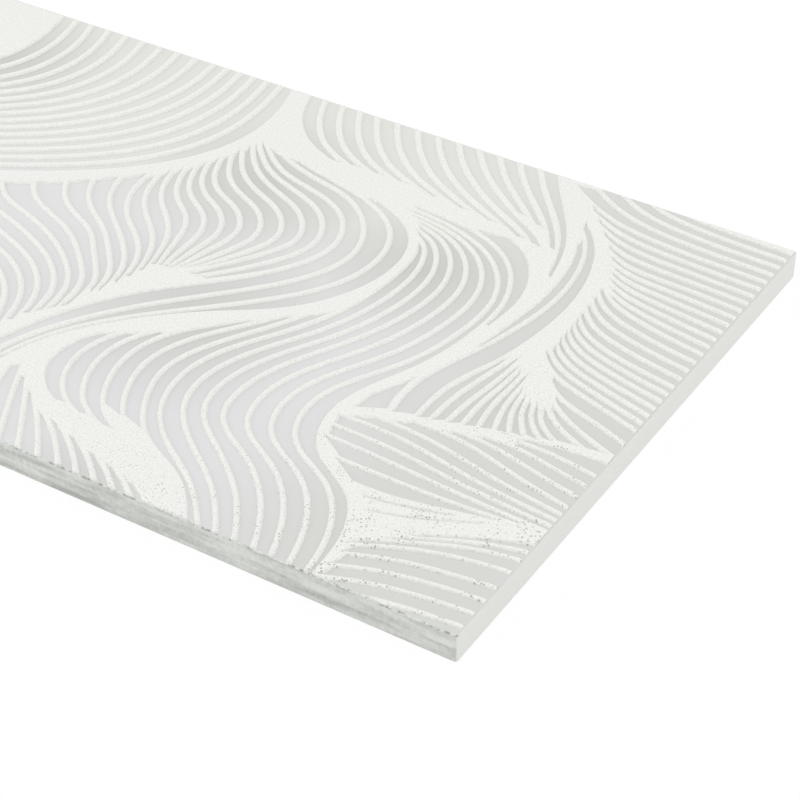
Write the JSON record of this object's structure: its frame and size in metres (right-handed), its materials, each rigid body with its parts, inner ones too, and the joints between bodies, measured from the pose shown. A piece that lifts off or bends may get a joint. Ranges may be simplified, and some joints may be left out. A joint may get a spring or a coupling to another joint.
{
  "type": "relief glass wall tile",
  "caption": "Flat rectangular white glass wall tile with raised flowing frosted lines on its glossy face and a plain back for bonding.",
  "frame": {"origin": "middle of the flat back face, which lies on the floor", "axes": "+X along the tile's length, +Y across its width, +Z out of the decorated face"},
  "size_m": [0.4, 0.2, 0.0098],
  "materials": {
    "white_glass": "white opal glass, glossy between frosted raised lines, satin sawn edges"
  },
  "bodies": {
    "root": {"glass_tile": "white_glass"}
  },
  "joints": []
}
